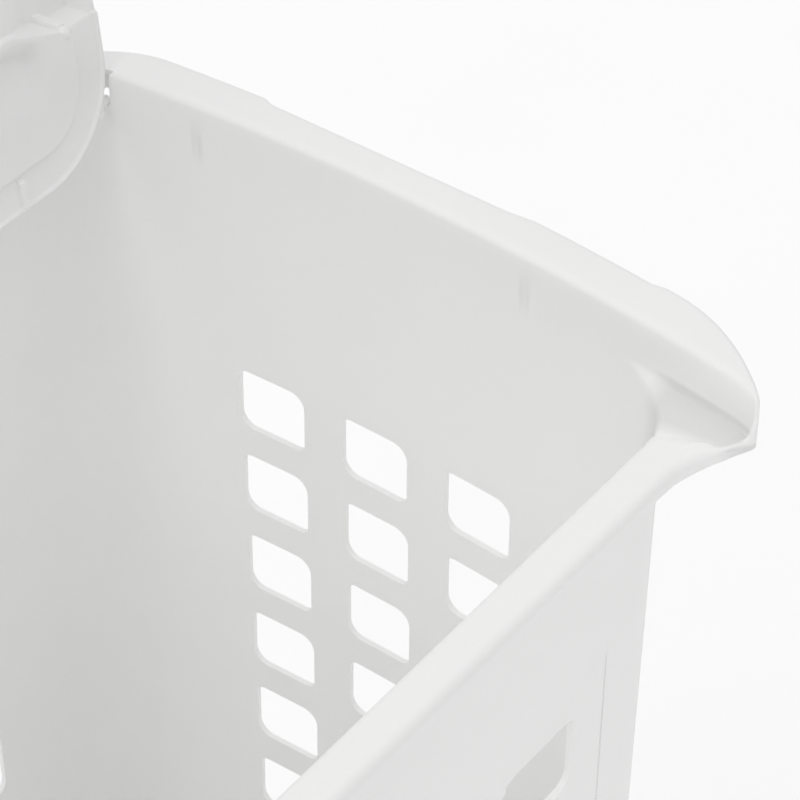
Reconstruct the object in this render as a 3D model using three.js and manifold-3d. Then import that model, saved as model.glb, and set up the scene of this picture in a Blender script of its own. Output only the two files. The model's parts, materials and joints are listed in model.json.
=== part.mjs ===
// Laundry hamper: a ventilated plastic tub and a lid hinged at the back, shown with the lid standing open.
// Millimetres. The origin is on the floor under the middle of the width, +X right, +Y back, +Z up.
import * as THREE from "three";
import { mergeVertices } from "three/addons/utils/BufferGeometryUtils.js";
import Module from "manifold-3d";

const wasm = await Module();
wasm.setup();

// Tub
const RIM_HEIGHT = 600; // top of the side and back rim
const FRONT_DROP = 18; // the front rim lies this far below it
const DECK_HEIGHT = RIM_HEIGHT - FRONT_DROP;
const WALL = 2.5;
const FLOOR = 3;
const HALF_WIDTH = 204.5; // inside face of a side wall at its middle, at the rim
const BACK = 147; // inside face of the back wall at its middle
const FRONT = -155.5; // inside face of the front wall
const SIDE_BOW = 0.00045; // the sides bulge outwards: x falls by this times y squared
const BACK_BOW = 0.00015;
const BASE_SCALE = 0.957; // the walls draw in towards the floor
const DEPTH_CENTRE = (BACK + FRONT) / 2;
const REAR_RADIUS = 30;
const FRONT_RADIUS = 34;
const ARC = 0.5523; // handle length of a cubic curve that draws a quarter circle

// Rim
const FLANGE_HALF_WIDTH = 225.5; // outer edge of the side rim at its middle
const FLANGE_BACK = 156.5;
const SKIRT_DEPTH = 16; // the rim's outer edge is turned down this far
const LIP_FRONT = -172.5;
const LIP_DEPTH = 5;
const GRIP_X = 220.6; // straight outer edge of the rim at the hand grip
const RIB_Y = [-77, 77]; // gussets under the rim, at both ends of the grip

// Vents: near squares with two opposite corners rounded; those of the front and back are larger,
// and the side columns lean a little to the front
const VENT_TOP = RIM_HEIGHT - 122.3;
const VENT_ROWS = 8;
const SIDE_VENT = { width: 32.2, height: 29.6, radius: 10, rowPitch: 44.4, columns: [-58.5, -7.3, 43.9], lean: 1.2 };
const FRONT_VENT = { width: 44, height: 35.5, radius: 10, rowPitch: 50.3, columns: [-102, -34, 34, 102], lean: 0 };

// Lid, drawn closed, with its own origin on the hinge axis
const HINGE = { y: 120, z: 586, pin: 4, slot: 4.8 };
const OPEN_ANGLE = 100;
const LID_GAP = 2.2;
const LID_HALF_WIDTH = HALF_WIDTH - LID_GAP;
const LID_BACK = 137;
const LID_REAR_RADIUS = 38;
const LID_FRONT = -186;
const LID_BOTTOM = DECK_HEIGHT + 0.5;
const LID_TOP = RIM_HEIGHT - 1.5;
const LID_WALL = 2;
const HINGE_PLATE = 2.5; // thickness of the low plate along the hinge
const PLATE_FRONT = 80; // front edge of the hinge plate, where a wall rises to the top of the lid
const BORDER = 15; // flat border around the lid's inner panel
const PANEL_DROP = 2.5; // the inner panel bulges down this far
const PAN = { halfWidth: 150, front: -140, splay: 26 }; // the sunk middle of the lid, with sloping sides

// ---------------------------------------------------------------- helpers

function solid(geometry) {
  const plain = geometry.index ? geometry : geometry.clone();
  plain.deleteAttribute("normal");
  plain.deleteAttribute("uv");
  const merged = mergeVertices(plain, 1e-4);
  return new wasm.Manifold(
    new wasm.Mesh({
      numProp: 3,
      vertProperties: new Float32Array(merged.attributes.position.array),
      triVerts: new Uint32Array(merged.index.array),
    }),
  );
}

function toGeometry(manifold) {
  const mesh = manifold.getMesh();
  const geometry = new THREE.BufferGeometry();
  geometry.setAttribute("position", new THREE.BufferAttribute(mesh.vertProperties, 3));
  geometry.setIndex(new THREE.BufferAttribute(mesh.triVerts, 1));
  geometry.computeVertexNormals();
  return geometry;
}

// A plan outline from its right half, drawn from the back to the front and mirrored.
function mirrored(rightHalf, divisions) {
  const right = rightHalf.getPoints(divisions);
  const left = right.filter((p) => p.x > 1e-6).map((p) => new THREE.Vector2(-p.x, p.y));
  return new THREE.Shape([...left, ...right.reverse()]);
}

function slab(shape, low, high) {
  const geometry = new THREE.ExtrudeGeometry(shape, { depth: high - low, bevelEnabled: false });
  geometry.translate(0, 0, low);
  return geometry;
}

function block(xSize, ySize, zSize, x, y, z) {
  return solid(new THREE.BoxGeometry(xSize, ySize, zSize).translate(x, y, z));
}

// A rounded corner: a quarter-circle-like curve from the path's end to `end`, around the sharp `corner`.
function turn(path, corner, end) {
  const start = path.currentPoint.clone();
  const sharp = new THREE.Vector2(...corner);
  const finish = new THREE.Vector2(...end);
  const first = start.lerp(sharp, ARC);
  const second = finish.clone().lerp(sharp, ARC);
  path.bezierCurveTo(first.x, first.y, second.x, second.y, finish.x, finish.y);
}

const sideX = (halfWidth, y) => halfWidth - SIDE_BOW * y * y;

// The bowed side from the path's end forwards to y = `end`, as an exact parabola.
function side(path, halfWidth, end) {
  const start = path.currentPoint.y;
  const control = sideX(halfWidth, start) - SIDE_BOW * start * (end - start);
  path.quadraticCurveTo(control, (start + end) / 2, sideX(halfWidth, end), end);
}

// The bowed back from the middle to the start of a rear corner with this radius.
function back(path, backY, halfWidth, radius) {
  const cornerX = sideX(halfWidth, backY);
  const x = cornerX - radius;
  path.moveTo(0, backY);
  path.quadraticCurveTo(x / 2, backY, x, backY - BACK_BOW * x * x);
  turn(path, [cornerX, path.currentPoint.y], [sideX(halfWidth, backY - radius), backY - radius]);
}

// ---------------------------------------------------------------- tub

// The bowed walls are flat between these lines, which run midway between the columns of vents.
const SIDE_FOLDS = [78, 26, -26, -78];
const BACK_FOLDS = [27, 81, 135];

function basinHalf(grow) {
  const path = new THREE.Path();
  const halfWidth = HALF_WIDTH + grow;
  const front = FRONT - grow;
  const backY = BACK + grow;
  const rearRadius = REAR_RADIUS + grow;
  const rearX = sideX(halfWidth, backY);
  const bowedBack = (x) => backY - BACK_BOW * x * x;
  path.moveTo(0, bowedBack(BACK_FOLDS[0]));
  for (const x of [...BACK_FOLDS, rearX - rearRadius]) path.lineTo(x, bowedBack(x));
  turn(path, [rearX, path.currentPoint.y], [sideX(halfWidth, backY - rearRadius), backY - rearRadius]);
  for (const y of [...SIDE_FOLDS, front + FRONT_RADIUS + grow]) path.lineTo(sideX(halfWidth, y), y);
  const cornerX = sideX(halfWidth, front);
  turn(path, [cornerX, front], [cornerX - FRONT_RADIUS - grow, front]);
  path.lineTo(0, front);
  return path;
}

// Between the raised side rims the opening runs on forwards, past the front wall, to the two horns.
function openingHalf(grow) {
  const path = new THREE.Path();
  const halfWidth = HALF_WIDTH + grow;
  back(path, BACK + grow, halfWidth, REAR_RADIUS + grow);
  side(path, halfWidth, -170);
  path.quadraticCurveTo(sideX(halfWidth, -170) - 4, -180, 178 + grow, -191);
  path.lineTo(178 + grow, -200);
  path.lineTo(0, -200);
  return path;
}

// Outer edge of the rim: wide at the sides, narrow at the back, with a straight inset for each hand
// grip, and drawn out at the front corners into two blunt horns.
function flangeHalf(inset) {
  const path = new THREE.Path();
  const halfWidth = FLANGE_HALF_WIDTH - inset;
  const radius = 52;
  back(path, FLANGE_BACK - inset, halfWidth, radius - inset);
  side(path, halfWidth, 60);
  path.bezierCurveTo(sideX(halfWidth, 57), 57, GRIP_X - inset, 56, GRIP_X - inset, 52);
  path.lineTo(GRIP_X - inset, -55);
  path.bezierCurveTo(GRIP_X - inset, -62, sideX(halfWidth, -66), -66, sideX(halfWidth, -71), -71);
  side(path, halfWidth, -140);
  path.bezierCurveTo(214.5 - inset, -160, 203 - inset, -174 + inset, 184 - inset, -187.2 + inset);
  path.quadraticCurveTo(182 - inset, -188.6 + inset, 180.4 - inset, -187 + inset);
  path.bezierCurveTo(174 - inset, -178 + inset, 162 - inset, LIP_FRONT + inset, 143 - inset, LIP_FRONT + inset);
  path.lineTo(0, LIP_FRONT + inset);
  return path;
}

// Draw the walls in towards the floor.
function drafted(geometry) {
  const position = geometry.attributes.position;
  for (let i = 0; i < position.count; i += 1) {
    const rise = Math.min(position.getZ(i) / RIM_HEIGHT, 1);
    const scale = BASE_SCALE + (1 - BASE_SCALE) * rise;
    position.setX(i, position.getX(i) * scale);
    position.setY(i, DEPTH_CENTRE + (position.getY(i) - DEPTH_CENTRE) * scale);
  }
  return geometry;
}

const basin = (grow, low, high) => solid(drafted(slab(mirrored(basinHalf(grow), 5), low, high)));
const opening = (grow, low, high) => solid(slab(mirrored(openingHalf(grow), 7), low, high));
const flange = (inset, low, high) => solid(slab(mirrored(flangeHalf(inset), 6), low, high));

function ventShape(vent) {
  const { radius } = vent;
  const x = vent.width / 2;
  const y = vent.height / 2;
  const shape = new THREE.Shape();
  shape.moveTo(x, y);
  shape.absarc(x - radius, -y + radius, radius, 0, -Math.PI / 2, true);
  shape.lineTo(-x, -y);
  shape.absarc(-x + radius, y - radius, radius, Math.PI, Math.PI / 2, true);
  return shape;
}

// One straight cutter goes through both opposite walls, so the vents of facing walls are mirror images.
function vents(vent, length, place) {
  const cutters = [];
  const settings = { depth: length, bevelEnabled: false, curveSegments: 2 };
  for (let row = 0; row < VENT_ROWS; row += 1) {
    for (const column of vent.columns) {
      const cutter = new THREE.ExtrudeGeometry(ventShape(vent), settings);
      cutter.translate(0, 0, -length / 2);
      cutter.rotateX(Math.PI / 2);
      place(cutter, column - vent.lean * row);
      cutter.translate(0, 0, VENT_TOP - vent.height / 2 - row * vent.rowPitch);
      cutters.push(solid(cutter));
    }
  }
  return wasm.Manifold.union(cutters);
}

const frontVents = () => vents(FRONT_VENT, 500, (cutter, x) => cutter.translate(x, 0, 0));
const sideVents = () => vents(SIDE_VENT, 600, (cutter, y) => cutter.rotateZ(Math.PI / 2).translate(0, y, 0));

function gussets() {
  const profile = new THREE.Shape();
  profile.moveTo(202, RIM_HEIGHT - 34);
  profile.lineTo(222, RIM_HEIGHT - SKIRT_DEPTH);
  profile.lineTo(222, RIM_HEIGHT - 1);
  profile.lineTo(202, RIM_HEIGHT - 1);
  const ribs = [];
  for (const y of RIB_Y) {
    for (const turnedBy of [0, Math.PI]) {
      const rib = new THREE.ExtrudeGeometry(profile, { depth: WALL, bevelEnabled: false });
      rib.translate(0, 0, -WALL / 2);
      rib.rotateX(Math.PI / 2);
      rib.rotateZ(turnedBy);
      rib.translate(0, y, 0);
      ribs.push(solid(rib));
    }
  }
  return wasm.Manifold.union(ribs);
}

// A slot through each side wall: round at the bottom, where the lid's pin turns.
function hingeSlots() {
  const radius = HINGE.slot / 2;
  const bottom = new THREE.CylinderGeometry(radius, radius, 600, 16);
  bottom.rotateZ(Math.PI / 2);
  bottom.translate(0, HINGE.y, HINGE.z);
  const top = block(600, HINGE.slot, 8, 0, HINGE.y, HINGE.z + 4);
  const slot = solid(bottom).add(top);
  const reach = block(16, 20, 60, 199, HINGE.y, HINGE.z).add(block(16, 20, 60, -199, HINGE.y, HINGE.z));
  return slot.intersect(reach);
}

function tubSolid() {
  const below = -1;
  const inside = basin(0, FLOOR, RIM_HEIGHT);
  const shell = basin(WALL, 0, DECK_HEIGHT).subtract(inside);
  const rim = flange(0, RIM_HEIGHT - SKIRT_DEPTH, RIM_HEIGHT)
    .subtract(flange(WALL, below, RIM_HEIGHT - WALL))
    .add(gussets().subtract(basin(1, 0, RIM_HEIGHT)));
  const band = opening(WALL, DECK_HEIGHT - WALL, RIM_HEIGHT).intersect(flange(0, 0, RIM_HEIGHT));
  const lip = opening(WALL, DECK_HEIGHT - LIP_DEPTH, DECK_HEIGHT)
    .intersect(flange(0, 0, RIM_HEIGHT))
    .subtract(flange(WALL, below, DECK_HEIGHT - WALL))
    .intersect(block(500, 100, 200, 0, -160, DECK_HEIGHT));
  return shell
    .add(rim.add(band).subtract(opening(0, DECK_HEIGHT, RIM_HEIGHT + 1)))
    .add(lip)
    .subtract(inside)
    .subtract(frontVents())
    .subtract(sideVents())
    .subtract(hingeSlots());
}

// ---------------------------------------------------------------- lid

function lidHalf(inset) {
  const path = new THREE.Path();
  const halfWidth = LID_HALF_WIDTH - inset;
  const front = LID_FRONT + inset;
  back(path, LID_BACK - inset, halfWidth, Math.max(LID_REAR_RADIUS - inset, 8));
  side(path, halfWidth, -160 + inset / 2);
  const cornerX = sideX(halfWidth, front) - 2;
  turn(path, [cornerX, front], [cornerX - 24, front]);
  path.lineTo(0, front);
  return path;
}

const lidSlab = (inset, low, high) => solid(slab(mirrored(lidHalf(inset), 8), low, high));

// Everything of the lid ahead of y = `from`, or behind it.
const ahead = (from) => block(500, 500, 100, 0, from - 250, LID_TOP);
const behind = (from) => block(500, 200, 100, 0, from + 100, LID_TOP);

// The sunk middle of the lid up to its sloping sides, which splay outwards as they rise.
function pan(grow, low, high) {
  const halfWidth = PAN.halfWidth + grow;
  const front = PAN.front - grow;
  const path = new THREE.Path();
  path.moveTo(0, PLATE_FRONT + 20);
  path.lineTo(halfWidth, PLATE_FRONT + 20);
  path.lineTo(halfWidth, front + 30);
  turn(path, [halfWidth, front], [halfWidth - 30, front]);
  path.lineTo(0, front);
  const geometry = slab(mirrored(path, 8), low, high);
  const position = geometry.attributes.position;
  for (let i = 0; i < position.count; i += 1) {
    const spread = (PAN.splay * (position.getZ(i) - LID_BOTTOM)) / (LID_TOP - LID_BOTTOM);
    position.setX(i, position.getX(i) * (1 + spread / PAN.halfWidth));
    if (position.getY(i) < 0) position.setY(i, position.getY(i) * (1 + spread / -PAN.front));
  }
  return solid(geometry);
}

function lidSolid() {
  const plateTop = LID_BOTTOM + HINGE_PLATE;
  const outside = lidSlab(0, LID_BOTTOM, LID_TOP);
  const raised = outside
    .subtract(lidSlab(LID_WALL, LID_BOTTOM - 1, LID_TOP - LID_WALL))
    .add(outside.intersect(block(500, LID_WALL, 100, 0, PLATE_FRONT + LID_WALL / 2, LID_TOP)))
    .intersect(ahead(PLATE_FRONT + LID_WALL))
    .subtract(pan(0, LID_BOTTOM - 1, LID_TOP + 1));
  const sunk = pan(LID_WALL, LID_BOTTOM, LID_TOP)
    .subtract(pan(0, plateTop, LID_TOP + 1))
    .intersect(ahead(PLATE_FRONT + LID_WALL));
  const plate = lidSlab(0, LID_BOTTOM, plateTop).intersect(behind(PLATE_FRONT));
  const panel = lidSlab(BORDER, LID_BOTTOM - PANEL_DROP, plateTop).intersect(behind(PLATE_FRONT));
  const rearLip = lidSlab(0, LID_BOTTOM - PANEL_DROP, plateTop)
    .subtract(lidSlab(LID_WALL, 0, RIM_HEIGHT))
    .intersect(behind(LID_BACK - 12));
  const parts = [raised, sunk, plate, panel, rearLip];
  const edgeX = sideX(LID_HALF_WIDTH, HINGE.y);
  for (const sign of [-1, 1]) {
    // a stay on the wall between the two levels, a gusset at the rear lip, and the hinge pin with its root
    parts.push(block(5, 4, LID_TOP - LID_BOTTOM - 1, sign * 181, PLATE_FRONT - 1, (LID_TOP + LID_BOTTOM) / 2));
    parts.push(block(3, 13, 7, sign * 143, LID_BACK - 9, LID_BOTTOM - 1));
    const pin = new THREE.CylinderGeometry(HINGE.pin / 2, HINGE.pin / 2, 11, 16).rotateZ(Math.PI / 2);
    parts.push(solid(pin.translate(sign * (edgeX - 2), HINGE.y, HINGE.z)));
    parts.push(block(5, 8, 3, sign * (edgeX - 5), HINGE.y, HINGE.z - 0.5));
  }
  return wasm.Manifold.union(parts).translate([0, -HINGE.y, -HINGE.z]);
}

// ---------------------------------------------------------------- assembly

const whitePlastic = () => new THREE.MeshStandardMaterial({ color: 0xf1f1ef, roughness: 0.42, metalness: 0 });

function piece(name, manifold) {
  const mesh = new THREE.Mesh(toGeometry(manifold), whitePlastic());
  mesh.name = name;
  return mesh;
}

const hamper = new THREE.Group();
hamper.add(piece("tub", tubSolid()));

const openLid = new THREE.Group();
openLid.position.set(0, HINGE.y, HINGE.z);
openLid.rotation.x = THREE.MathUtils.degToRad(-OPEN_ANGLE);
openLid.add(piece("lid", lidSolid()));
hamper.add(openLid);

export default hamper;
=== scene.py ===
"""Laundry hamper, its looks: a finely modelled tub and lid in white satin polypropylene.

Lengths inside the functions are millimetres in the frame's axes: +X right, +Y back, +Z up.
The lid is drawn closed and then turned about its hinge to the open position it rests in.
"""

import json
import math
from collections import namedtuple

import bmesh
import bpy
from mathutils import Matrix, Vector


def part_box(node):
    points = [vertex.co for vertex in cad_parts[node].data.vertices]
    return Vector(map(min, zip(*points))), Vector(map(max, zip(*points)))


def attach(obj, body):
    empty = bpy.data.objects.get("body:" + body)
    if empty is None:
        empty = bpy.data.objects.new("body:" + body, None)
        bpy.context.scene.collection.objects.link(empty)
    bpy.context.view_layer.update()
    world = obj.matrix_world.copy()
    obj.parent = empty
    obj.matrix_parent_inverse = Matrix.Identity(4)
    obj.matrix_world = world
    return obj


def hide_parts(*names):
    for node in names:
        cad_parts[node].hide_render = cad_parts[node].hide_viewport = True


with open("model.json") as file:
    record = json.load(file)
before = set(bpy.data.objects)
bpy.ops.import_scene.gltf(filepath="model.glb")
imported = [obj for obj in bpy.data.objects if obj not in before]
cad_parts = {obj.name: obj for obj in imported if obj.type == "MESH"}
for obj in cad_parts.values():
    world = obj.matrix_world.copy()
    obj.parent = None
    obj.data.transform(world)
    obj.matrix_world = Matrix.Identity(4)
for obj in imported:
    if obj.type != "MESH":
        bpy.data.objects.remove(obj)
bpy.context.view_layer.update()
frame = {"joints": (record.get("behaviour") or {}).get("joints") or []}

MM = 0.001
_, tub_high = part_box("tub")
hinge = frame["joints"][0]
HINGE_Y = hinge["pos_m"][1] / MM
HINGE_Z = hinge["pos_m"][2] / MM
OPEN_ANGLE = hinge["range_deg"][1]

# Tub walls, inside faces at the height of the rim
RIM_Z = round(tub_high.z / MM, 1)
HALF_WIDTH = 204.5
BACK_Y = 147.0
FRONT_Y = -155.5
SIDE_BOW = 0.00045
BACK_BOW = 0.00015
BASE_SCALE = 0.957
CENTRE_Y = (BACK_Y + FRONT_Y) / 2
REAR_RADIUS = 30.0
FRONT_RADIUS = 34.0
ARC = 0.5523
WALL = 2.5
FLOOR_Z = 2.5
FLOOR_FILLET = 7.0

# Rim
FLANGE_X = round(tub_high.x / MM, 1)
FLANGE_BACK = round(tub_high.y / MM, 1)
FLANGE_RADIUS = 52.0
GRIP_X = 220.6
SKIRT_DROP = 16
SKIRT_Z = RIM_Z - SKIRT_DROP
LEDGE_Z = RIM_Z - 20
SLOT_HALF = 2.4
COLLAR_WALL = 1.4
POCKET_SLOPE = 4.0  # the ledge in a front corner falls this much towards the inside
BAND_END_Z = RIM_Z - 17.4  # where the rim is lower than this, the upright band fades out
RIB_Y = 77.0
PARTING_X = 143.5
CROWN = 0.4  # the front rim bulges up this much across its width
NOSE = (186.0, -184.0)  # the rim's tip at a front corner, where the plastic is thin

# Vents, each in the middle of a cell of the wall's grid
Vent = namedtuple("Vent", "width height cell_width cell_height columns")
VENT_TOP = RIM_Z - 122.3
VENT_RADIUS = 7.2  # two opposite corners
VENT_TIGHT_RADIUS = 4.2  # the other two
ROWS = 8
CELL = 10  # divisions along each side of a cell
SIDE_VENT = Vent(32.2, 29.6, 51.2, 44.4, (43.9, -7.3, -58.5))
FRONT_VENT = Vent(44.0, 35.5, 68.0, 50.3, (-102.0, -34.0, 34.0, 102.0))
SIDE_LEAN = 1.2 / SIDE_VENT.cell_height  # the side columns lean to the front going down

# Lid, closed
LID_HALF_WIDTH = HALF_WIDTH - 2.2
LID_BACK = 137.0
LID_FRONT = -186.0
LID_RADIUS = 38.0
LID_FRONT_RADIUS = 36.0
LID_LOW = RIM_Z - 17.5
LID_DEPTH = 13.5
LID_WALL = 2.0
LID_STEP_Y = 80.0
PAN_HALF = 151.0
PAN_FRONT = -141.0
PAN_SLOPE = 27.0
BORDER = 15.0
STAY_X = 181.0
GUSSET_X = 143.0
PIN_RADIUS = 2.0

# Camera, in metres and degrees
LENS = 147.75
CAMERA_PLACE = (-0.5630, -0.5948, 1.3369)
CAMERA_DOWN = 41.106  # looking down from level
CAMERA_TURN = -53.093

WHITE = (0.90, 0.90, 0.895)


# ---------------------------------------------------------------- camera and light

def add_camera():
    data = bpy.data.cameras.new("camera")
    data.lens = LENS
    data.sensor_width = 36
    camera = bpy.data.objects.new("camera", data)
    camera.location = CAMERA_PLACE
    camera.rotation_euler = (math.radians(90 - CAMERA_DOWN), 0, math.radians(CAMERA_TURN))
    bpy.context.scene.collection.objects.link(camera)
    bpy.context.scene.camera = camera


def add_area_light(name, place, aim, size, power):
    data = bpy.data.lights.new(name, "AREA")
    data.shape = "SQUARE"
    data.size = size
    data.energy = power
    light = bpy.data.objects.new(name, data)
    light.location = place
    light.rotation_euler = (Vector(aim) - Vector(place)).to_track_quat("-Z", "Y").to_euler()
    bpy.context.scene.collection.objects.link(light)


def add_lighting():
    world = bpy.data.worlds.new("studio")
    world.use_nodes = True
    tree = world.node_tree
    sky = tree.nodes["Background"]
    sky.inputs["Color"].default_value = (1, 1, 1, 1)
    direction = tree.nodes.new("ShaderNodeTexCoord").outputs["Generated"]
    height = tree.nodes.new("ShaderNodeSeparateXYZ")
    tree.links.new(direction, height.inputs[0])
    rise = tree.nodes.new("ShaderNodeMapRange")
    tree.links.new(height.outputs["Z"], rise.inputs["Value"])
    rise.inputs["To Min"].default_value = 0.30
    rise.inputs["To Max"].default_value = 1.03
    tree.links.new(rise.outputs["Result"], sky.inputs["Strength"])
    bpy.context.scene.world = world
    add_area_light("key", (-2.3, 0.4, 2.9), (0.1, 0, 0.5), 2.4, 18)
    bpy.context.scene.view_settings.view_transform = "Standard"


# ---------------------------------------------------------------- small helpers

def lerp(a, b, t):
    return a + (b - a) * t


def mix(p, q, t):
    return tuple(lerp(a, b, t) for a, b in zip(p, q))


def smooth(t):
    t = min(max(t, 0.0), 1.0)
    return t * t * (3 - 2 * t)


def turn(start, sharp, end, t):
    """A point of the rounded corner from start to end around the sharp corner."""
    first = mix(start, sharp, ARC)
    second = mix(end, sharp, ARC)
    s = 1 - t
    weights = (s**3, 3 * s * s * t, 3 * s * t * t, t**3)
    points = (start, first, second, end)
    return tuple(sum(w * p[i] for w, p in zip(weights, points)) for i in (0, 1))


def side_x(half_width, y):
    return half_width - SIDE_BOW * y * y


def spaced(start, end, count):
    """Values after start, up to and including end."""
    return [lerp(start, end, (i + 1) / count) for i in range(count)]


def finish_mesh(name, bm, materials):
    mesh = bpy.data.meshes.new(name)
    bm.to_mesh(mesh)
    bm.free()
    for polygon in mesh.polygons:
        polygon.use_smooth = True
    for material in materials:
        mesh.materials.append(material)
    piece = bpy.data.objects.new(name, mesh)
    bpy.context.scene.collection.objects.link(piece)
    return piece


def prism(bm, outline, start, end, axis):
    """A solid with the given outline, drawn out along an axis (0 for x)."""
    rings = []
    for level in (start, end):
        ring = []
        for p, q in outline:
            point = [p, q]
            point.insert(axis, level)
            ring.append(bm.verts.new([c * MM for c in point]))
        rings.append(ring)
    faces = [bm.faces.new(rings[0]), bm.faces.new(rings[1][::-1])]
    count = len(outline)
    for i in range(count):
        j = (i + 1) % count
        faces.append(bm.faces.new((rings[0][j], rings[0][i], rings[1][i], rings[1][j])))
    bmesh.ops.recalc_face_normals(bm, faces=faces)


def add_bevel(piece, width, segments, angle):
    bevel = piece.modifiers.new("rounded_edges", "BEVEL")
    bevel.width = width * MM
    bevel.segments = segments
    bevel.limit_method = "ANGLE"
    bevel.angle_limit = math.radians(angle)
    bevel.harden_normals = True
    bevel.use_clamp_overlap = True


def add_shell(piece, thickness):
    shell = piece.modifiers.new("wall_thickness", "SOLIDIFY")
    shell.thickness = thickness * MM
    shell.offset = -1
    shell.use_quality_normals = True
    return shell


# ---------------------------------------------------------------- materials

class Nodes:
    """A short way to write a material's nodes."""

    def __init__(self, name):
        self.material = bpy.data.materials.new(name)
        self.material.use_nodes = True
        self.tree = self.material.node_tree
        self.shader = self.tree.nodes["Principled BSDF"]
        self.place = self.add("ShaderNodeTexCoord").outputs["Object"]

    def add(self, kind, links=(), **settings):
        node = self.tree.nodes.new(kind)
        for key, value in settings.items():
            setattr(node, key, value)
        for socket, value in links:
            if isinstance(value, bpy.types.NodeSocket):
                self.tree.links.new(value, node.inputs[socket])
            else:
                node.inputs[socket].default_value = value
        return node

    def noise(self, scale, detail=2.0, roughness=0.5):
        links = [("Vector", self.place), ("Scale", scale), ("Detail", detail), ("Roughness", roughness)]
        return self.add("ShaderNodeTexNoise", links).outputs[0]

    def math(self, operation, a, b=0.0):
        return self.add("ShaderNodeMath", [(0, a), (1, b)], operation=operation).outputs[0]

    def ramp(self, value, low, high, out_low, out_high):
        links = [(0, value), (1, low), (2, high), (3, out_low), (4, out_high)]
        return self.add("ShaderNodeMapRange", links).outputs[0]

    def bump(self, height, strength, distance, normal=None):
        links = [("Height", height), ("Strength", strength), ("Distance", distance)]
        if normal is not None:
            links.append(("Normal", normal))
        return self.add("ShaderNodeBump", links).outputs[0]

    def near(self, axis_value, centre, reach):
        """1 where the value is at the centre, falling to 0 at the reach."""
        gap = self.math("ABSOLUTE", self.math("SUBTRACT", axis_value, centre))
        return self.add(
            "ShaderNodeMapRange",
            [(0, gap), (1, 0.0), (2, reach), (3, 1.0), (4, 0.0)],
            interpolation_type="SMOOTHSTEP",
        ).outputs[0]


def polypropylene(name, marks=None):
    """White satin moulded plastic: a fine grain, faint flow clouds and slightly uneven gloss, with painted
    shade from the marks where they are given.
    """
    nodes = Nodes(name)
    shader = nodes.shader
    clouds = nodes.noise(9.0, 3.0)
    flecks = nodes.noise(420.0, 2.0)
    cloud_shade = nodes.ramp(clouds, 0.3, 0.7, -0.5, 0.5)
    shade = nodes.math("ADD", cloud_shade, nodes.ramp(flecks, 0.3, 0.7, -0.15, 0.15))
    low = tuple(c * 0.98 for c in WHITE) + (1,)
    high = tuple(c * 1.015 for c in WHITE) + (1,)
    colour = nodes.add(
        "ShaderNodeMix",
        [(0, nodes.ramp(shade, -0.6, 0.6, 0.0, 1.0)), (6, low), (7, high)],
        data_type="RGBA",
    ).outputs[2]
    patches = nodes.ramp(nodes.noise(35.0, 4.0), 0.3, 0.7, 0.40, 0.50)
    gloss = nodes.math("ADD", patches, nodes.ramp(flecks, 0.3, 0.7, -0.03, 0.03))
    nodes.tree.links.new(gloss, shader.inputs["Roughness"])
    shader.inputs["IOR"].default_value = 1.49
    shader.inputs["Specular IOR Level"].default_value = 0.42
    shader.inputs["Emission Color"].default_value = (1, 1, 1, 1)
    shader.inputs["Emission Strength"].default_value = 0.05  # stands in for light that soaks through
    waves = nodes.bump(nodes.noise(16.0, 1.0), 0.25, 0.0006)
    grain = nodes.bump(nodes.noise(2600.0, 2.0, 0.6), 0.22, 0.00006, waves)
    if marks:
        normal, painted_shade_factor = marks(nodes, grain)
        # The marks' second output is painted shade, multiplied into the base colour
        colour = nodes.add(
            "ShaderNodeMix",
            [(0, 1.0), (6, colour), (7, painted_shade_factor)],
            data_type="RGBA",
            blend_type="MULTIPLY",
        ).outputs[2]
    else:
        normal = grain
    nodes.tree.links.new(colour, shader.inputs["Base Color"])
    nodes.tree.links.new(normal, shader.inputs["Normal"])
    return nodes.material


def tub_marks_and_painted_shade(nodes, normal):
    """Sink marks over the ribs and a fine parting line near each front corner as bumps; painted shade in the
    front corner pockets and along the sink marks.
    """
    axes = nodes.add("ShaderNodeSeparateXYZ", [(0, nodes.place)])
    x, y, z = axes.outputs
    rib = nodes.near(nodes.math("ABSOLUTE", y), RIB_Y * MM, 0.0032)
    tall = nodes.near(z, (RIM_Z - 18) * MM, 0.014)
    sink = nodes.math("MULTIPLY", rib, tall)
    parting = nodes.near(nodes.math("ABSOLUTE", x), PARTING_X * MM, 0.0006)
    below = nodes.ramp(z, (RIM_Z - 110) * MM, (RIM_Z - 100) * MM, 1.0, 0.0)
    ahead = nodes.ramp(y, -0.14, -0.13, 1.0, 0.0)
    line = nodes.math("MULTIPLY", parting, nodes.math("MULTIPLY", below, ahead))
    depth = nodes.math("ADD", sink, nodes.math("MULTIPLY", line, 0.5))
    normal = nodes.bump(nodes.math("MULTIPLY", depth, -1.0), 0.9, 0.0009, normal)
    # Painted shade: the base colour is made darker in the front corner pockets (by 0.17) and along the sink
    # marks (by 0.04), in place of the shade that falls in these hollows
    outer = nodes.ramp(nodes.math("ABSOLUTE", x), 0.172, 0.180, 0.0, 1.0)
    forward = nodes.ramp(y, -0.136, -0.146, 0.0, 1.0)
    low = nodes.ramp(z, (RIM_Z - 16.5) * MM, (RIM_Z - 18.5) * MM, 0.0, 1.0)
    painted_pocket_shade = nodes.math("MULTIPLY", outer, nodes.math("MULTIPLY", forward, low))
    shade = nodes.math("ADD", nodes.math("MULTIPLY", painted_pocket_shade, 0.17), nodes.math("MULTIPLY", sink, 0.04))
    return normal, nodes.math("SUBTRACT", 1.0, shade)


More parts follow.
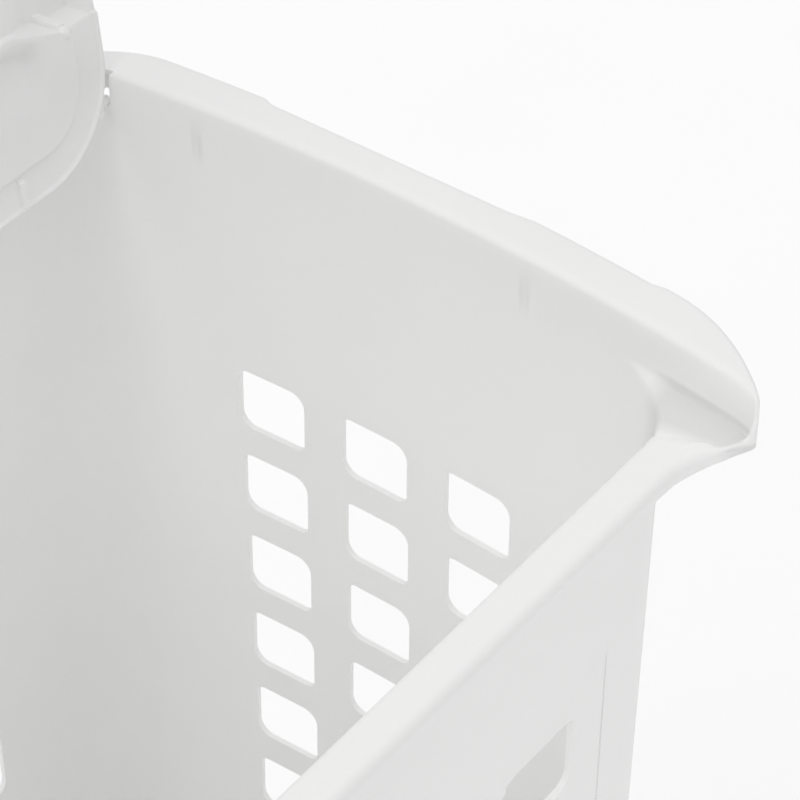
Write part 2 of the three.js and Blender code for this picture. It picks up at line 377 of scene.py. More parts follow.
def floor_material():
    nodes = Nodes("pale_floor")
    shade = nodes.ramp(nodes.noise(3.0, 3.0), 0.3, 0.7, 0.0, 1.0)
    links = [(0, shade), (6, (0.93, 0.93, 0.93, 1)), (7, (0.95, 0.95, 0.95, 1))]
    colour = nodes.add("ShaderNodeMix", links, data_type="RGBA").outputs[2]
    nodes.tree.links.new(colour, nodes.shader.inputs["Base Color"])
    nodes.shader.inputs["Roughness"].default_value = 0.85
    nodes.shader.inputs["Emission Color"].default_value = (1, 1, 1, 1)
    nodes.shader.inputs["Emission Strength"].default_value = 0.18
    return nodes.material


# ---------------------------------------------------------------- tub: the wall

REAR_START_X = side_x(HALF_WIDTH, BACK_Y) - REAR_RADIUS
REAR_START_Y = BACK_Y - BACK_BOW * REAR_START_X**2
REAR_TURN = (
    (REAR_START_X, REAR_START_Y),
    (side_x(HALF_WIDTH, BACK_Y), REAR_START_Y),
    (side_x(HALF_WIDTH, BACK_Y - REAR_RADIUS), BACK_Y - REAR_RADIUS),
)
FRONT_TURN = (
    (side_x(HALF_WIDTH, FRONT_Y + FRONT_RADIUS), FRONT_Y + FRONT_RADIUS),
    (side_x(HALF_WIDTH, FRONT_Y), FRONT_Y),
    (side_x(HALF_WIDTH, FRONT_Y) - FRONT_RADIUS, FRONT_Y),
)
SIDE_REAR = SIDE_VENT.columns[0] + SIDE_VENT.cell_width / 2  # the side vents' cells lie between these
SIDE_FRONT = SIDE_VENT.columns[-1] - SIDE_VENT.cell_width / 2
FRONT_HOLD = FRONT_VENT.cell_width * 2  # those of the front and back lie within this of the middle


def scale_at(z):
    return BASE_SCALE + (1 - BASE_SCALE) * min(z / RIM_Z, 1)


def side_wall(y, z):
    k = scale_at(z)
    return k * side_x(HALF_WIDTH, (y - CENTRE_Y) / k + CENTRE_Y), y


def back_wall(x, z):
    k = scale_at(z)
    return x, CENTRE_Y + k * (BACK_Y - BACK_BOW * (x / k) ** 2 - CENTRE_Y)


def front_wall(x, z):
    return x, CENTRE_Y + scale_at(z) * (FRONT_Y - CENTRE_Y)


def side_shift(z):
    """How far the side vents' columns have moved, 0 at the middle of the upper row."""
    top_centre = VENT_TOP - SIDE_VENT.height / 2
    return -SIDE_LEAN * (top_centre - z) if z < top_centre else 0.0


def wall_point(kind, value, z):
    """The inside face of the right half of the wall, on the upright line of a station."""
    k = scale_at(z)
    if kind in ("rear", "corner"):
        x, y = turn(*(REAR_TURN if kind == "rear" else FRONT_TURN), value)
        return k * x, CENTRE_Y + k * (y - CENTRE_Y)
    if kind == "side":
        if value > 0:
            draw = max(0.0, (value - SIDE_REAR) / (BACK_Y - REAR_RADIUS - SIDE_REAR))
        else:
            draw = max(0.0, (value - SIDE_FRONT) / (FRONT_Y + FRONT_RADIUS - SIDE_FRONT))
        shift = side_shift(z) * (1 - draw)
        return side_wall(value + (k - 1) * (value - CENTRE_Y) * draw + shift, z)
    limit = REAR_START_X if kind == "back" else FRONT_TURN[2][0]
    lean = max(0.0, (value - FRONT_HOLD) / (limit - FRONT_HOLD))
    x = value * (1 + (k - 1) * lean)
    return back_wall(x, z) if kind == "back" else front_wall(x, z)


def rear_value(y):
    """Where the rear corner passes this y, found by halving."""
    low, high = 0.0, 1.0
    for _ in range(40):
        middle = (low + high) / 2
        if turn(*REAR_TURN, middle)[1] > y:
            low = middle
        else:
            high = middle
    return (low + high) / 2


SLOT_Y = [HINGE_Y + SLOT_HALF * c for c in (1.0, 0.7, 0.0, -0.7, -1.0)]
CORNER_VALUES = [
    0.05, 0.1, 0.15, 0.2, 0.25, 0.3, 0.35, 0.4, 0.44, 0.48, 0.52, 0.56, 0.59, 0.62, 0.65, 0.675, 0.695,
    0.71, 0.725, 0.735, 0.745, 0.755, 0.765, 0.775, 0.79, 0.81, 0.83, 0.845, 0.86, 0.88, 0.9, 0.93, 0.965,
]
# Upright lines in the cells beside the middle one, close together at both ends of the hand grip
REAR_CELL_Y = (65.0, 62.0, 60.0, 58.5, 57.0, 55.0, 52.0, 43.0, 31.0)
FRONT_CELL_Y = (-46.0, -54.0, -57.0, -60.0, -63.0, -66.0, -69.0, -72.0, -77.0)


def right_half_stations():
    """Upright lines of the wall from the middle of the back to the middle of the front."""
    stations = [("back", x) for x in [0.0, *spaced(0, FRONT_HOLD, 20), *spaced(FRONT_HOLD, REAR_START_X, 5)]]
    before_slot = rear_value(SLOT_Y[0] + 1.5)
    stations += [("rear", t) for t in spaced(0, before_slot, 10)]
    stations += [("rear", rear_value(y)) for y in SLOT_Y]
    rear_end = BACK_Y - REAR_RADIUS
    stations += [("side", y) for y in [rear_end - 0.8, *spaced(rear_end - 0.8, SIDE_REAR, 8)]]
    middle_rear = SIDE_REAR - SIDE_VENT.cell_width
    middle_front = SIDE_FRONT + SIDE_VENT.cell_width
    stations += [("side", y) for y in (*REAR_CELL_Y, middle_rear)]
    stations += [("side", y) for y in spaced(middle_rear, middle_front, CELL)]
    stations += [("side", y) for y in (*FRONT_CELL_Y, SIDE_FRONT)]
    stations += [("side", y) for y in spaced(SIDE_FRONT, FRONT_TURN[0][1], 8)]
    stations += [("corner", t) for t in CORNER_VALUES]
    end = FRONT_TURN[2][0]
    stations += [("front", x) for x in [end, *spaced(end, FRONT_HOLD, 5), *spaced(FRONT_HOLD, 0, 20)]]
    return stations


# ---------------------------------------------------------------- tub: the rim

REAR_FLANGE_X = side_x(FLANGE_X, FLANGE_BACK) - FLANGE_RADIUS
FLANGE_TURN = (
    (REAR_FLANGE_X, FLANGE_BACK - BACK_BOW * REAR_FLANGE_X**2),
    (side_x(FLANGE_X, FLANGE_BACK), FLANGE_BACK - BACK_BOW * REAR_FLANGE_X**2),
    (side_x(FLANGE_X, FLANGE_BACK - FLANGE_RADIUS), FLANGE_BACK - FLANGE_RADIUS),
)


def flange_side(y):
    """Outer edge of the side rim, with the straight inset of the hand grip."""
    outer = side_x(FLANGE_X, y)
    inset = smooth((59.5 - y) / 5.5) * smooth((y + 71) / 16)
    return lerp(outer, GRIP_X, inset), y


def flange_point(kind, value):
    if kind == "back":
        x = value * REAR_FLANGE_X / REAR_START_X
        return x, FLANGE_BACK - BACK_BOW * x * x
    if kind == "rear":
        return turn(*FLANGE_TURN, value)
    rear_end = BACK_Y - REAR_RADIUS
    if value > SIDE_REAR:
        outer_end = FLANGE_TURN[2][1]
        value = SIDE_REAR + (value - SIDE_REAR) * (outer_end - SIDE_REAR) / (rear_end - SIDE_REAR)
    return flange_side(value)


# The rim round a front corner, from the side (0) to the front (1 at the end of the rounded wall):
# foot and top of the upright band, outer edge, then heights of ledge, rim and skirt, and edge radius.
CORNER_RIM = [
    (0.00, (197.2, -121.9), (197.9, -121.5), (218.9, -121.5), 580.0, 600.0, 584.0, 1.6),
    (0.15, (196.6, -133.0), (196.6, -132.6), (217.0, -137.0), 580.0, 600.0, 584.0, 1.6),
    (0.30, (194.9, -146.0), (194.9, -146.0), (213.4, -149.6), 580.0, 600.0, 584.0, 1.8),
    (0.42, (193.3, -157.5), (193.1, -157.5), (208.9, -158.9), 580.0, 600.0, 584.0, 2.0),
    (0.52, (191.9, -167.5), (191.5, -167.5), (203.6, -167.3), 580.0, 600.0, 583.6, 2.2),
    (0.60, (190.7, -174.8), (189.6, -174.8), (197.6, -174.9), 580.0, 600.0, 583.0, 2.2),
    (0.66, (189.6, -179.0), (187.6, -179.8), (192.6, -180.3), 580.0, 600.0, 582.4, 1.8),
    (0.70, (188.2, -181.8), (185.9, -183.2), (188.4, -184.2), 580.2, 600.0, 582.0, 1.3),
    (0.73, (186.6, -183.2), (184.6, -185.0), (185.6, -186.4), 580.4, 599.0, 581.2, 1.0),
    (0.75, (185.0, -183.1), (183.4, -185.3), (183.6, -187.2), 580.5, 592.0, 580.6, 1.0),
    (0.77, (183.2, -182.2), (182.0, -184.6), (181.9, -186.4), 580.5, 585.6, 580.0, 1.0),
    (0.79, (181.2, -181.0), (180.2, -183.2), (179.9, -184.9), 580.3, 583.6, 579.4, 1.0),
    (0.82, (177.6, -178.6), (177.0, -180.8), (176.6, -182.2), 580.0, 583.0, 578.5, 1.1),
    (0.84, (175.6, -176.6), (175.0, -178.6), (174.6, -180.9), 580.2, 582.4, 577.6, 1.6),
    (0.86, (174.3, -173.0), (173.6, -175.6), (172.4, -179.4), 581.5, 582.0, 577.2, 2.6),
    (0.90, (171.5, -168.5), (171.0, -171.3), (168.6, -177.3), 581.5, 581.8, 576.7, 3.6),
    (1.00, (160.0, -164.0), (159.8, -166.8), (158.4, -173.6), 581.4, 581.6, 576.0, 4.5),
    (1.35, (153.0, -163.5), (153.0, -166.5), (152.6, -172.8), 581.4, 581.6, 576.0, 4.5),
    (2.00, (140.0, -163.5), (140.0, -166.5), (140.0, -172.5), 581.4, 581.6, 576.0, 4.5),
]


def hermite(before, low, high, after, t):
    """Smooth value between two keys, each (position, value), with its neighbours' slopes."""
    span = high[0] - low[0]
    slope_low = (high[1] - before[1]) / (high[0] - before[0])
    slope_high = (after[1] - low[1]) / (after[0] - low[0])
    t2, t3 = t * t, t * t * t
    return (
        (2 * t3 - 3 * t2 + 1) * low[1]
        + (t3 - 2 * t2 + t) * span * slope_low
        + (3 * t2 - 2 * t3) * high[1]
        + (t3 - t2) * span * slope_high
    )


def corner_rim(position):
    """The row of CORNER_RIM at a position between its keys."""
    keys = CORNER_RIM
    index = 0
    while index < len(keys) - 2 and keys[index + 1][0] < position:
        index += 1
    low, high = keys[index], keys[index + 1]
    before = keys[max(index - 1, 0)]
    after = keys[min(index + 2, len(keys) - 1)]
    t = min((position - low[0]) / (high[0] - low[0]), 1.0)
    values = []
    for column in (1, 2, 3):
        point = []
        for axis in (0, 1):
            near_keys = [(key[0], key[column][axis]) for key in (before, low, high, after)]
            point.append(hermite(*near_keys, t))
        values.append(tuple(point))
    values += [lerp(low[column], high[column], smooth(t)) for column in (4, 5, 6, 7)]
    return values


def rim_plan(kind, value):
    """Plan points and heights that shape the rim on a station."""
    if kind in ("back", "rear", "side"):
        foot = wall_point(kind, value, LEDGE_Z)
        top = wall_point(kind, value, RIM_Z)
        return foot, foot, top, flange_point(kind, value), LEDGE_Z, RIM_Z, SKIRT_Z, 1.6
    if kind == "corner":
        foot, top, edge, ledge, rim, skirt, radius = corner_rim(value)
    else:
        end = FRONT_TURN[2][0]
        foot, top, edge, ledge, rim, skirt, radius = corner_rim(1 + (end - value) / 20)
        if value < 140:
            foot, top, edge = ((value, point[1]) for point in (foot, top, edge))
    return wall_point(kind, value, ledge), foot, top, edge, ledge, rim, skirt, radius


def along(start, end, distance):
    length = math.dist(start, end)
    return mix(start, end, distance / length) if length > 1e-6 else start


QUARTER = [math.radians(a) for a in (0, 22, 45, 68, 90)]  # the steps of a rounded edge


def ledge_points(wall, foot, ledge, rise, spread, front):
    """Over the wall's rounded top and along the ledge to the fillet at the foot of the band."""
    width = math.dist(wall, foot)
    edge_round = min(lerp(2.2, 3.0, front), 0.35 * width)
    fillet = min(1.2, 0.25 * width)
    points = []
    for a in QUARTER:
        place = along(wall, foot, edge_round * (1 - math.cos(a)))
        points.append((*place, ledge - edge_round * (1 - math.sin(a))))
    inner = along(wall, foot, edge_round)
    outer = along(foot, wall, fillet)
    for t in spaced(0, 1, 5):
        points.append((*mix(inner, outer, t), ledge))
    for a in QUARTER[1:4]:
        place = along(foot, wall, fillet * (1 - math.sin(a)))
        points.append((*place, ledge + rise * (1 - math.cos(a))))
    slope = POCKET_SLOPE * (1 - front) * smooth(width / 9)
    last = len(points) - 1
    return [(x, y, z + lerp(-spread - slope, spread, i / last)) for i, (x, y, z) in enumerate(points)]


def edge_points(top, edge, high_z, rim, skirt, radius):
    """Over the rounded top of the band, across the rim and down its outer edge."""
    lip_reach = min(3.6, 0.6 * (math.dist(top, edge) - radius))
    points = []
    for a in QUARTER[1:]:
        place = along(top, edge, lip_reach * (1 - math.cos(a)))
        points.append((*place, lerp(high_z, rim, math.sin(a))))
    near = along(top, edge, lip_reach)
    far = along(edge, top, radius)
    for t in spaced(0, 1, 4):
        points.append((*mix(near, far, t), rim))
    for a in QUARTER[1:]:
        place = along(edge, top, radius * (1 - math.sin(a)))
        points.append((*place, rim - radius * (1 - math.cos(a))))
    low = min(skirt, rim - radius - 0.5)
    for t in spaced(0, 1, 3):
        points.append((*edge, lerp(rim - radius, low, t)))
    return points


def rim_line(kind, value):
    """The moulding's skin on a station, from the top of the wall over the rim to the skirt's edge."""
    wall, foot, top, edge, ledge, rim, skirt, radius = rim_plan(kind, value)
    height = rim - ledge
    front = smooth(BAND_END_Z - rim)  # 1 on the front rim, where there is no band
    radius = min(radius, 0.6 * math.dist(top, edge))
    spread = 1.5 * (1 - min(1.0, math.dist(wall, foot) / 5))
    rise = min(1.2, 0.3 * height)
    low_z = ledge + rise + spread + 0.4 * min(height, 1.0)
    high_z = max(rim - min(2.4, 0.45 * height), low_z)
    points = ledge_points(wall, foot, ledge, rise, spread, front)
    points += [(*mix(foot, top, smooth(t)), lerp(low_z, high_z, t)) for t in spaced(0, 1, 4)]
    points += edge_points(top, edge, high_z, rim, skirt, radius)
    whole = math.dist(wall, edge)
    crowned = []
    for x, y, z in points:
        across = min(math.dist(wall, (x, y)) / whole, 1.0)
        crowned.append((x, y, z + front * CROWN * math.sin(math.pi * across)))
    return crowned


SLOT_ROWS = (13, 19)  # the hinge slot takes out these rows of the rim line


def slotted(points, value):
    """The same line where it borders the hinge slot, whose lower end is round."""
    y = turn(*REAR_TURN, value)[1]
    bottom = HINGE_Z - math.sqrt(max(SLOT_HALF**2 - (y - HINGE_Y) ** 2, 0.0))
    x, y, _ = points[SLOT_ROWS[0]]
    points[SLOT_ROWS[0]] = (x, y, bottom)
    for row in range(SLOT_ROWS[0] + 1, SLOT_ROWS[0] + 4):
        x, y, z = points[row]
        points[row] = (x, y, max(z, bottom + 1.5 * (row - SLOT_ROWS[0])))
    return points


# ---------------------------------------------------------------- tub: the mesh

FILLET_ANGLES = (0, 30, 60, 90)
LOW_ROWS = 8  # rows of the grid on the plain wall below the vents
FIRST_VENT_ROW = len(FILLET_ANGLES) - 1 + LOW_ROWS
FLOOR_RINGS = (0.985, 0.9, 0.75, 0.6, 0.45, 0.3, 0.15)


def wall_heights(kind, value):
    """Heights of the grid's rows on a station, above the floor's fillet and below the rim."""
    side_share = {"side": 1.0, "front": 0.0, "back": 0.0, "rear": value, "corner": 1 - value}[kind]
    zones = []
    for vent in (FRONT_VENT, SIDE_VENT):
        top = VENT_TOP + (vent.cell_height - vent.height) / 2
        zones.append((top - ROWS * vent.cell_height, top))
    bottom, top = (lerp(a, b, side_share) for a, b in zip(*zones))
    start = FLOOR_Z + FLOOR_FILLET
    return [
        *spaced(start, bottom, LOW_ROWS),
        *spaced(bottom, top, ROWS * CELL),
        *spaced(top, RIM_Z - 27, 12),
    ]


def station_line(kind, value, mirror):
    """All points of one upright line, from the floor up to the skirt's edge."""
    points = []
    for angle in FILLET_ANGLES:
        a = math.radians(angle)
        z = FLOOR_Z + FLOOR_FILLET * (1 - math.cos(a))
        x, y = wall_point(kind, value, z)
        k = 1 - FLOOR_FILLET * (1 - math.sin(a)) / math.hypot(x, y - CENTRE_Y)
        points.append((x * k, CENTRE_Y + (y - CENTRE_Y) * k, z))
    points += [(*wall_point(kind, value, z), z) for z in wall_heights(kind, value)]
    rim = rim_line(kind, value)
    if kind == "rear" and any(abs(turn(*REAR_TURN, value)[1] - y) < 1e-6 for y in SLOT_Y):
        rim = slotted(rim, value)
    points += rim
    sign = -1 if mirror else 1
    return [(sign * x, y, z) for x, y, z in points]


def vent_loop(vent, grow):
    """The vent's outline from the middle of its upper round corner, across the top and clockwise."""
    half_width = vent.width / 2 + grow
    half_height = vent.height / 2 + grow
    round_radius = VENT_RADIUS + grow
    tight_radius = VENT_TIGHT_RADIUS + grow

    def arc(sign_h, sign_z, radius, start, end, count):
        centre = (sign_h * (half_width - radius), sign_z * (half_height - radius))
        angles = [math.radians(lerp(start, end, i / count)) for i in range(count + 1)]
        return [(centre[0] + radius * math.cos(a), centre[1] + radius * math.sin(a)) for a in angles]

    def edge(first_arc, last_arc):
        straight = [mix(first_arc[-1], last_arc[0], t) for t in (0.25, 0.5, 0.75)]
        return first_arc + straight + last_arc[:-1]

    top = edge(arc(-1, 1, round_radius, 135, 90, 4), arc(1, 1, tight_radius, 90, 45, 2))
    right = edge(arc(1, 1, tight_radius, 45, 0, 2), arc(1, -1, round_radius, 0, -45, 4))
    bottom = edge(arc(1, -1, round_radius, -45, -90, 4), arc(-1, -1, tight_radius, -90, -135, 2))
    left = edge(arc(-1, -1, tight_radius, -135, -180, 2), arc(-1, 1, round_radius, 180, 135, 4))
    return top + right + bottom + left


def add_vent(bm, lines, indices, rising, first_row, place, vent, centre_h):
    """Fills the square cell of the wall's grid around one vent with rings, leaving the vent open."""
    columns = indices if rising else indices[::-1]
    top_row = first_row + CELL
    outer = [lines[i][top_row] for i in columns[:-1]]
    outer += [lines[columns[-1]][top_row - j] for j in range(CELL)]
    outer += [lines[i][first_row] for i in columns[:0:-1]]
    outer += [lines[columns[0]][first_row + j] for j in range(CELL)]
    centre_z = (lines[columns[0]][top_row].co.z + lines[columns[0]][first_row].co.z) / 2 / MM
    rings = [outer]
    for grow in (1.4, 0.0):
        ring = []
        for h, z in vent_loop(vent, grow):
            x, y = place(centre_h + h, centre_z + z)
            ring.append(bm.verts.new((x * MM, y * MM, (centre_z + z) * MM)))
        rings.append(ring)
    for wide, narrow in zip(rings, rings[1:]):
        for j in range(4 * CELL):
            k = (j + 1) % (4 * CELL)
            corners = (wide[j], wide[k], narrow[k], narrow[j])
            bm.faces.new(corners if rising else corners[::-1])


def station_index(stations, kind, value, mirror):
    """Which station stands at this value. On the front and back a negative value is on the left."""
    if kind != "side":
        mirror = value < 0
        value = abs(value)
    for index, (other_kind, other_value, other_mirror) in enumerate(stations):
        if (other_kind, other_mirror) == (kind, mirror) and abs(other_value - value) < 1e-6:
            return index
    raise ValueError(f"no station {kind} {value}")


def left_wall(y, z):
    x, y = side_wall(y, z)
    return -x, y


def vent_columns(stations):
    """Every column of vents: its two outer stations, the wall it is in, its vent and its middle."""
    found = []
    for mirror, wall in ((False, side_wall), (True, left_wall)):
        for column in SIDE_VENT.columns:
            edges = (column + SIDE_VENT.cell_width / 2, column - SIDE_VENT.cell_width / 2)
            ends = [station_index(stations, "side", y, mirror) for y in edges]
            found.append((ends, wall, SIDE_VENT, column))
    for kind, wall in (("back", back_wall), ("front", front_wall)):
        for column in FRONT_VENT.columns:
            edges = (column - FRONT_VENT.cell_width / 2, column + FRONT_VENT.cell_width / 2)
            ends = [station_index(stations, kind, x, False) for x in edges]
            found.append((ends, wall, FRONT_VENT, column))
    return found


def along_wall(station):
    """A station's y on a side wall, and its x on the front or back."""
    kind, value, mirror = station
    return -value if mirror and kind != "side" else value


def add_vents(bm, lines, stations):
    """Makes all vents, and returns the faces of the grid whose place they take."""
    taken = set()
    total = len(stations)
    for (first, last), wall, vent, centre in vent_columns(stations):
        if (last - first) % total != CELL:
            first, last = last, first
        indices = [(first + j) % total for j in range(CELL + 1)]
        rising = along_wall(stations[indices[1]]) > along_wall(stations[indices[0]])
        for row in range(ROWS):
            first_row = FIRST_VENT_ROW + row * CELL
            row_centre = centre
            if vent is SIDE_VENT:
                row_centre += side_shift(VENT_TOP - vent.height / 2 - (ROWS - 1 - row) * vent.cell_height)
            add_vent(bm, lines, indices, rising, first_row, wall, vent, row_centre)
            for j in indices[:-1]:
                taken.update((j, first_row + r) for r in range(CELL))
    return taken


def slot_faces(stations, rim_start):
    """The faces of the grid that the two hinge slots leave out."""
    taken = set()
    slot_values = [rear_value(y) for y in SLOT_Y]
    for side in (False, True):
        places = []
        for i, (kind, value, mirror) in enumerate(stations):
            if (kind, mirror) == ("rear", side) and any(abs(value - s) < 1e-9 for s in slot_values):
                places.append(i)
        for i in places[:-1]:
            taken.update((i, rim_start + r) for r in range(*SLOT_ROWS))
    return taken


def add_floor(bm, ring):
    """The tub's floor, in rings from the foot of the wall to the middle."""
    total = len(ring)
    edge = [vert.co.copy() for vert in ring]
    centre_y = CENTRE_Y * MM
    for k in FLOOR_RINGS:
        inner = [bm.verts.new((co.x * k, centre_y + (co.y - centre_y) * k, FLOOR_Z * MM)) for co in edge]
        for i in range(total):
            ahead = (i + 1) % total
            bm.faces.new((ring[i], ring[ahead], inner[ahead], inner[i]))
        ring = inner
    middle = bm.verts.new((0, centre_y, FLOOR_Z * MM))
    for i in range(total):
        bm.faces.new((ring[i], ring[(i + 1) % total], middle))


def tub_skin():
    """The inside skin of the wall, rim and floor, as a grid of upright lines with the vents let in."""
    right = [(kind, value, False) for kind, value in right_half_stations()]
    stations = right + [(kind, value, True) for kind, value, _ in right[-2:0:-1]]
    total = len(stations)
    bm = bmesh.new()
    lines = []
    for station in stations:
        lines.append([bm.verts.new([c * MM for c in point]) for point in station_line(*station)])
    rows = len(lines[0])
    taken = add_vents(bm, lines, stations)
    taken |= slot_faces(stations, rows - len(rim_line("side", 0.0)))
    for i in range(total):
        ahead = (i + 1) % total
        for r in range(rows - 1):
            if (i, r) not in taken:
                bm.faces.new((lines[i][r], lines[i][r + 1], lines[ahead][r + 1], lines[ahead][r]))
    add_floor(bm, [line[0] for line in lines])
    loose = [vert for vert in bm.verts if not vert.link_faces]
    bmesh.ops.delete(bm, geom=loose, context="VERTS")
    bmesh.ops.recalc_face_normals(bm, faces=bm.faces)
    bm.faces.ensure_lookup_table()
    lowest = min(bm.faces, key=lambda face: face.calc_center_median().z)
    if lowest.normal.z < 0:
        bmesh.ops.reverse_faces(bm, faces=bm.faces)
    return bm


def hinge_cups():
    """Collars under the rims, outside the walls, behind the upper part of the hinge slots."""
    bm = bmesh.new()
    for sign in (-1, 1):
        near, far = 199.5, 205.5
        rear, front = HINGE_Y + 6, HINGE_Y - 6
        inner = far - COLLAR_WALL
        cup = [
            (near, front), (far, front), (far, rear), (near, rear), (near, rear - COLLAR_WALL),
            (inner, rear - COLLAR_WALL), (inner, front + COLLAR_WALL), (near, front + COLLAR_WALL),
        ]
        prism(bm, [(sign * x, y) for x, y in cup], RIM_Z - 13.6, RIM_Z - 2.6, 2)
    return bm


def side_gussets():
    """Upright ribs under the side rims, at both ends of each hand grip."""
    bm = bmesh.new()
    profile = [(203, RIM_Z - 34), (221.4, RIM_Z - SKIRT_DROP), (221.4, RIM_Z - 1.6), (203, RIM_Z - 1.6)]
    for sign in (-1, 1):
        for y in (-RIB_Y, RIB_Y):
            rings = [(sign * x, z) for x, z in profile]
            prism(bm, rings, y - 1.2, y + 1.2, 1)
    return bm


def add_tub(material):
    piece = finish_mesh("tub_moulding", tub_skin(), [material])
    walls = piece.vertex_groups.new(name="wall_thickness")
    for vert in piece.data.vertices:
        place = (abs(vert.co.x) / MM, vert.co.y / MM)
        share = smooth((math.dist(place, NOSE) - 3) / 11)
        walls.add([vert.index], lerp(0.3, 1.0, share), "REPLACE")
    add_shell(piece, WALL).vertex_group = walls.name
    add_bevel(piece, 0.8, 3, 42)
    cups = finish_mesh("hinge_cups", hinge_cups(), [material])
    gussets = finish_mesh("side_gussets", side_gussets(), [material])
    for detail in (cups, gussets):
        add_bevel(detail, 0.4, 2, 35)
    return piece, cups, gussets


# ---------------------------------------------------------------- lid

EDGE_INSETS = (
    0.0, 0.5, 1.1, 1.7, 2.1, 2.6, 3.2, 5.0, 7.5, 10.0, 12.5, 13.6, 14.3, 15.0, 15.7, 16.4, 17.2, 19.0,
    22.0, 26.0, 30.0, 34.0, 38.0, 42.0, 46.0, 50.0,
)
INSET_STEP = 4.5


def insets(total):
    """Distances from an edge to the middle: close together at the edge, then in even steps."""
    last = EDGE_INSETS[-1]
    return [*EDGE_INSETS, *spaced(last, total, round((total - last) / INSET_STEP))]


def lid_plan(a, b, radius):
    """Plan point at insets a from the side and b from the end, with the corner rounded."""
    inset = min(a, b)
    bend = radius - inset
    reach = max(a, b) - inset
    if bend <= 0 or reach >= bend:
        return a, b
    angle = math.pi / 4 * (1 - reach / bend)
    near = radius - bend * math.cos(angle)
    far = radius - bend * math.sin(angle)
    return (near, far) if a <= b else (far, near)


def step_line(x):
    """The front edge of the hinge plate, which runs forward between the stays and the middle."""
    return LID_STEP_Y - 0.42 * min(max(STAY_X + 2 - abs(x), 0.0), 30.0)


def lid_height(x, y, inset):
    """Underside of the closed lid."""
    behind = smooth((y - step_line(x) + 0.7) / 1.4)
    rim = smooth((2.3 - inset) / 0.7)
    outside = max(smooth((abs(x) - PAN_HALF) / PAN_SLOPE), smooth((PAN_FRONT - y) / PAN_SLOPE))
    raised = LID_LOW + LID_DEPTH * outside * (1 - rim)
    panel = smooth((inset - BORDER + 1.0) / 2.0)
    lobe = smooth(min(inset - 33, y - step_line(x) - 4) / 5)
    bead = smooth((1.5 - inset) / 0.8)
    plate = LID_LOW - 2.2 * panel + lobe * (0.5 + 0.19 * max(0.0, 104 - y)) - 1.4 * bead
    return lerp(raised, plate, behind)


def lid_skin():
    depth = LID_BACK - LID_FRONT
    step = LID_BACK - LID_STEP_Y
    step_rows = [step + d for d in (-2.0, -1.2, -0.7, -0.35, 0.0, 0.35, 0.7, 1.2, 2.0)]
    half = LID_HALF_WIDTH
    columns = insets(half)
    rows = [b for b in insets(depth / 2) if abs(b - step) > 2.5]
    rows = sorted(rows + step_rows)
    rows += [depth - b for b in insets(depth / 2)[-2::-1]]
    bm = bmesh.new()
    grid = []
    for b in rows:
        rear = b < depth / 2
        radius = LID_RADIUS if rear else LID_FRONT_RADIUS
        end = b if rear else depth - b
        line = []
        for a in columns:
            from_side, from_end = lid_plan(a, end, radius)
            y = LID_BACK - from_end if rear else LID_FRONT + from_end
            x = side_x(half, y) - from_side * side_x(half, y) / half
            y += (step_line(x) - LID_STEP_Y) * max(0.0, 1 - abs(y - LID_STEP_Y) / 35)
            z = lid_height(x, y, min(a, end))
            line.append((x, y, z))
        full = line[:-1] + [(0, line[-1][1], line[-1][2])] + [(-x, y, z) for x, y, z in line[-2::-1]]
        grid.append([bm.verts.new([c * MM for c in point]) for point in full])
    for near, far in zip(grid, grid[1:]):
        for j in range(len(near) - 1):
            bm.faces.new((near[j], near[j + 1], far[j + 1], far[j]))
    bmesh.ops.recalc_face_normals(bm, faces=bm.faces)
    bm.faces.ensure_lookup_table()
    if bm.faces[0].normal.z > 0:
        bmesh.ops.reverse_faces(bm, faces=bm.faces)
    return bm


def round_outline(centre, radius, count=20):
    angles = [math.tau * i / count for i in range(count)]
    return [(centre[0] + radius * math.cos(a), centre[1] + radius * math.sin(a)) for a in angles]


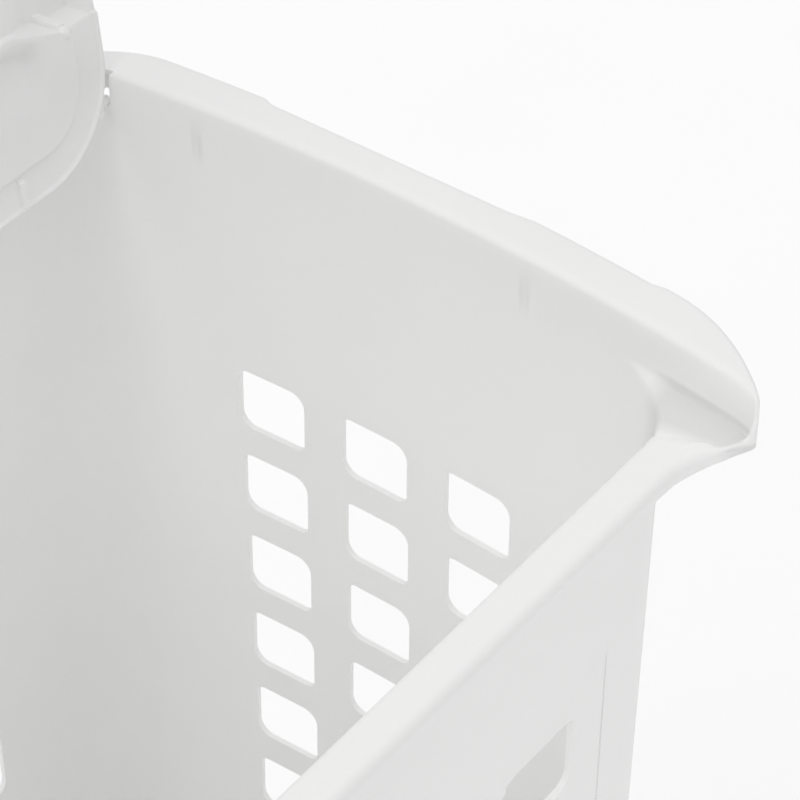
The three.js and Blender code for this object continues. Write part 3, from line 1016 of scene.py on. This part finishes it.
def lid_details():
    """Stays on the wall of the step, gussets at the rear edge, and the hinge pins with their roots."""
    bm = bmesh.new()
    top = LID_LOW + LID_DEPTH + 0.5
    edge = side_x(LID_HALF_WIDTH, HINGE_Y)
    for sign in (-1, 1):
        x = sign * STAY_X
        stay = [(LID_STEP_Y + 1, top), (LID_STEP_Y + 1, LID_LOW - 0.8), (LID_STEP_Y - 3.2, LID_LOW + 0.4)]
        prism(bm, stay + [(LID_STEP_Y - 4.6, top)], x - 1.7, x + 1.7, 0)
        node = bmesh.ops.create_icosphere(bm, subdivisions=3, radius=2.7 * MM)["verts"]
        bmesh.ops.translate(bm, verts=node, vec=Vector((x, LID_STEP_Y + 0.4, LID_LOW - 0.7)) * MM)
        g = sign * GUSSET_X
        rear = LID_BACK - 0.8
        gusset = [(LID_BACK - 14, LID_LOW + 0.5), (LID_BACK - 12, LID_LOW - 2.2), (rear, LID_LOW - 2.4)]
        prism(bm, gusset + [(rear, LID_LOW + 0.5)], g - 1.4, g + 1.4, 0)
        prism(bm, round_outline((HINGE_Y, HINGE_Z), PIN_RADIUS), sign * (edge - 7), sign * (edge + 3.6), 0)
        root = [(HINGE_Y - 4, LID_LOW + 0.5), (HINGE_Y + 4, LID_LOW + 0.5), (HINGE_Y + 2, HINGE_Z + 2)]
        prism(bm, root + [(HINGE_Y - 2, HINGE_Z + 2)], sign * (edge - 7), sign * (edge - 2), 0)
    return bm


def opened(piece):
    """Turns a piece drawn on the closed lid to the open position."""
    centre = Vector((0, HINGE_Y, HINGE_Z)) * MM
    turned = Matrix.Rotation(math.radians(-OPEN_ANGLE), 4, "X")
    piece.data.transform(Matrix.Translation(centre) @ turned @ Matrix.Translation(-centre))


def add_lid(material):
    skin = finish_mesh("lid_moulding", lid_skin(), [material])
    details = finish_mesh("lid_details", lid_details(), [material])
    for piece in (skin, details):
        opened(piece)
    add_shell(skin, LID_WALL)
    add_bevel(details, 0.5, 3, 35)
    return skin, details


# ---------------------------------------------------------------- run

add_camera()
add_lighting()

tub_white = polypropylene("tub_polypropylene", tub_marks_and_painted_shade)
tub_pieces = add_tub(tub_white)
for piece in tub_pieces:
    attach(piece, "hamper")
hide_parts("tub")

lid_white = polypropylene("lid_polypropylene")
lid_pieces = add_lid(lid_white)
for piece in lid_pieces:
    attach(piece, "lid")
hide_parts("lid")

bm = bmesh.new()
bmesh.ops.create_grid(bm, x_segments=8, y_segments=8, size=6)
floor = finish_mesh("floor", bm, [floor_material()])
